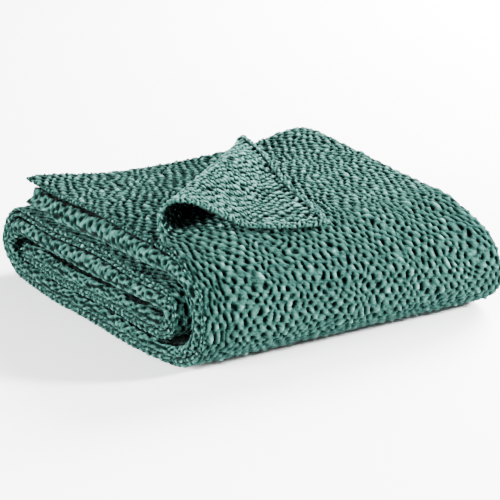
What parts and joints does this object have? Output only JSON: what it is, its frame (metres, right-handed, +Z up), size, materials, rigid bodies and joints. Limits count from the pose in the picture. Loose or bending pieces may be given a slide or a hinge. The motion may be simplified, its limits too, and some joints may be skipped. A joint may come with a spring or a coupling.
{
  "type": "folded waffle weave cotton blanket",
  "caption": "Teal cotton blanket in a deep waffle weave, folded into a thick rectangular stack and rolled over at the front, with one corner of the top ply turned back.",
  "frame": {"origin": "middle of the flat base of the folded stack", "axes": "+Z up from the resting face, +Y from the rounded front fold to the back, +X along the front fold to the right"},
  "size_m": [0.4233, 0.4656, 0.1715],
  "materials": {
    "cotton": "matt, deeply textured waffle weave"
  },
  "bodies": {
    "root": {"blanket": "cotton"}
  },
  "joints": []
}
